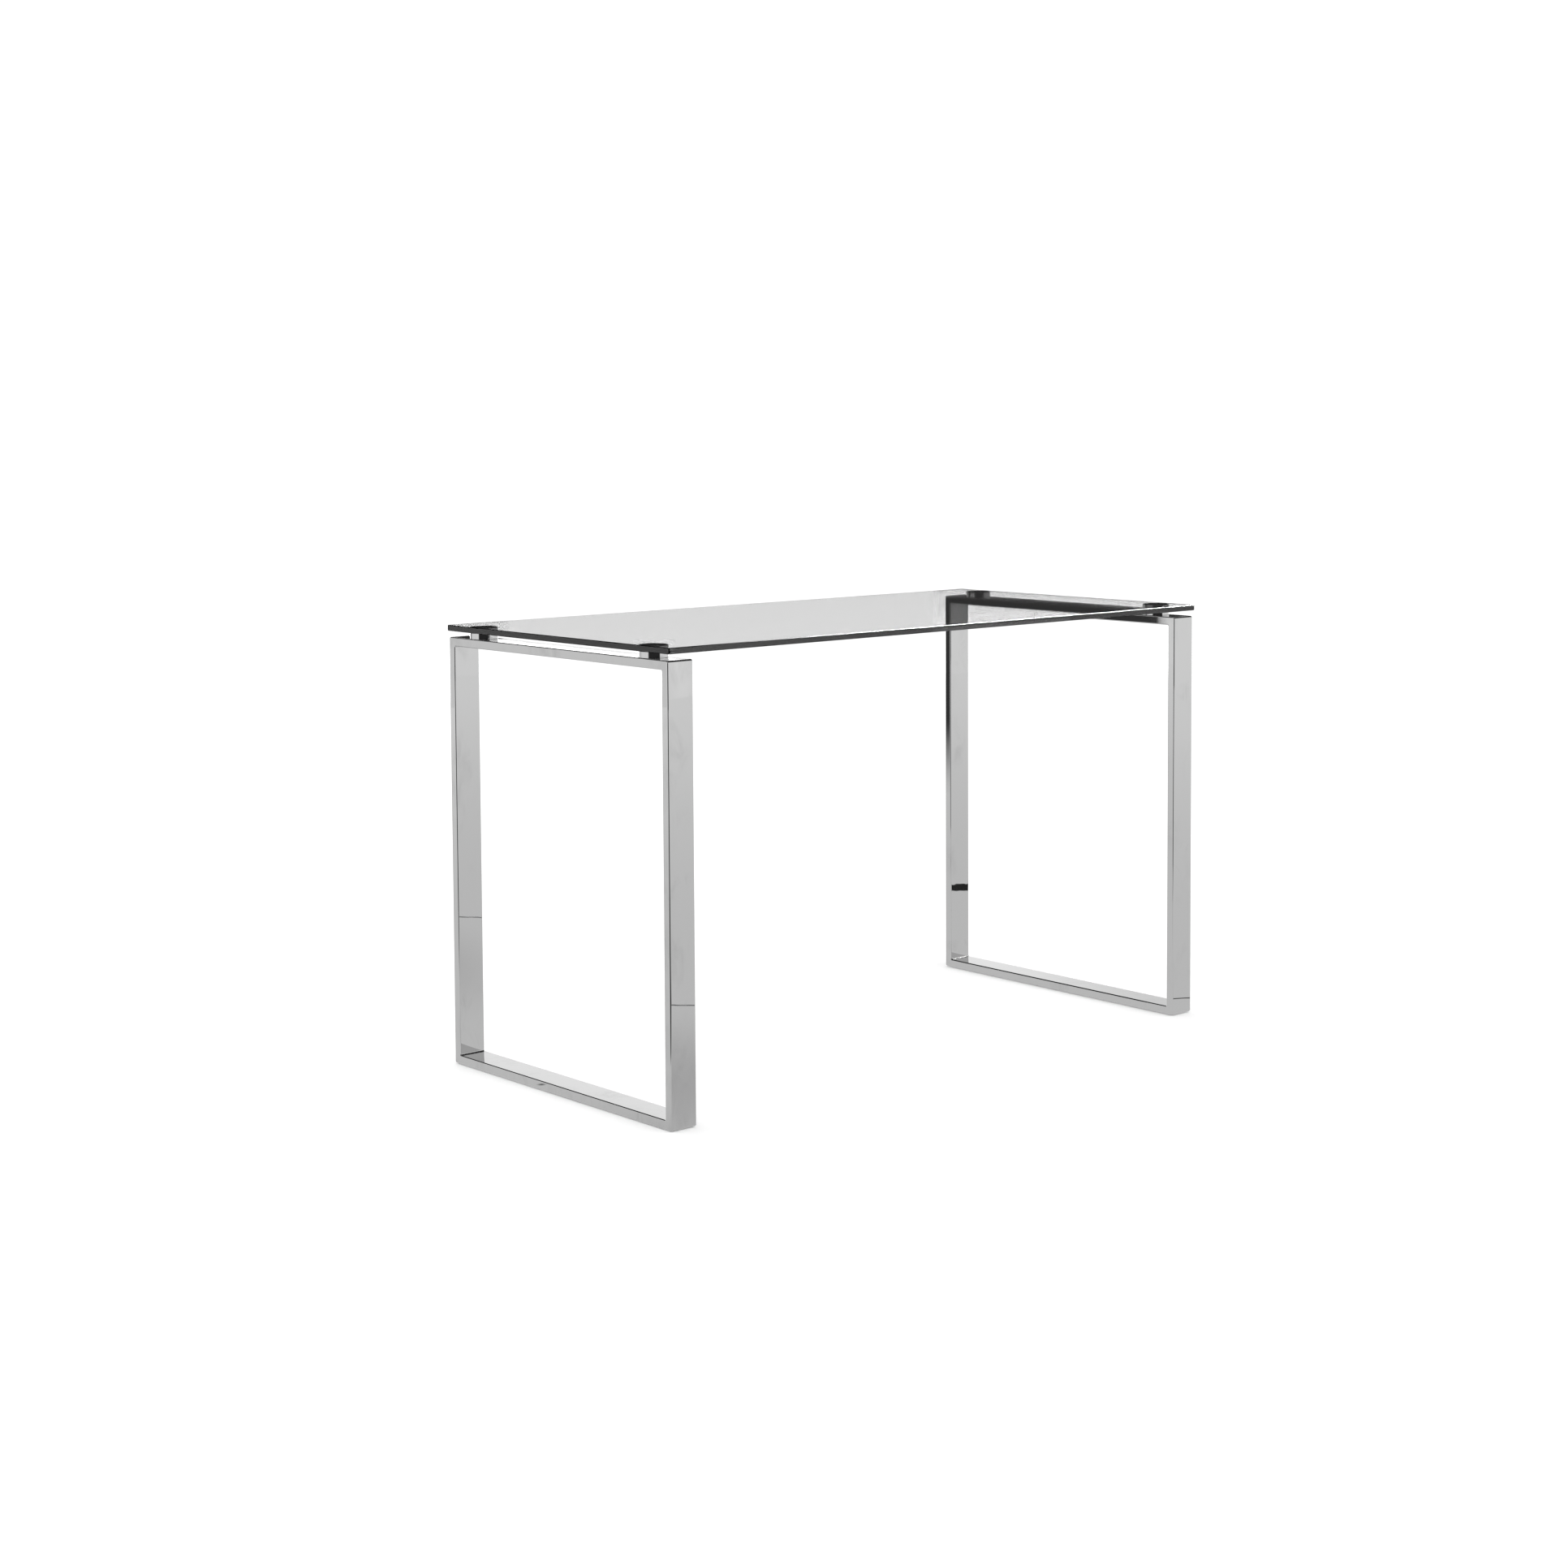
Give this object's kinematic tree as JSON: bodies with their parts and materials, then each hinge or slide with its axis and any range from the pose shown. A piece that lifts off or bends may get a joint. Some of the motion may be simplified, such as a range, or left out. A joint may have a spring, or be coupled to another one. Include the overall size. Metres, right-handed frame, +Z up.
{
  "type": "console table",
  "caption": "Clear glass table top held on round metal pucks over closed leg loops of mirror-polished flat tube, one across each end.",
  "frame": {"origin": "on the floor, under the middle of the table", "axes": "+X along the length, -Y the front, +Z up"},
  "size_m": [1.22, 0.6, 0.75],
  "materials": {
    "clear_glass": "clear toughened glass, polished edges",
    "polished_tube": "mirror-polished flat tube, faint wiping marks",
    "polished_puck": "mirror-polished, turned",
    "clear_adhesive": "cured clear adhesive film",
    "grey_plastic": "moulded plastic plug",
    "floor_glide": "moulded nylon glide",
    "zinc_screw": "zinc-plated steel"
  },
  "bodies": {
    "root": {"glass_top": "clear_glass", "left_top_rail": "polished_tube", "left_bottom_rail": "polished_tube", "left_front_upright": "polished_tube", "left_back_upright": "polished_tube", "right_top_rail": "polished_tube", "right_bottom_rail": "polished_tube", "right_front_upright": "polished_tube", "right_back_upright": "polished_tube", "puck_left_front": "polished_puck", "bond_left_front": "clear_adhesive", "access_plug_left_front": "grey_plastic", "glide_left_front": "floor_glide", "puck_left_back": "polished_puck", "bond_left_back": "clear_adhesive", "access_plug_left_back": "grey_plastic", "glide_left_back": "floor_glide", "puck_right_front": "polished_puck", "bond_right_front": "clear_adhesive", "access_plug_right_front": "grey_plastic", "glide_right_front": "floor_glide", "puck_right_back": "polished_puck", "bond_right_back": "clear_adhesive", "access_plug_right_back": "grey_plastic", "glide_right_back": "floor_glide", "puck_screws": "zinc_screw", "puck_washers": "zinc_screw"}
  },
  "joints": []
}
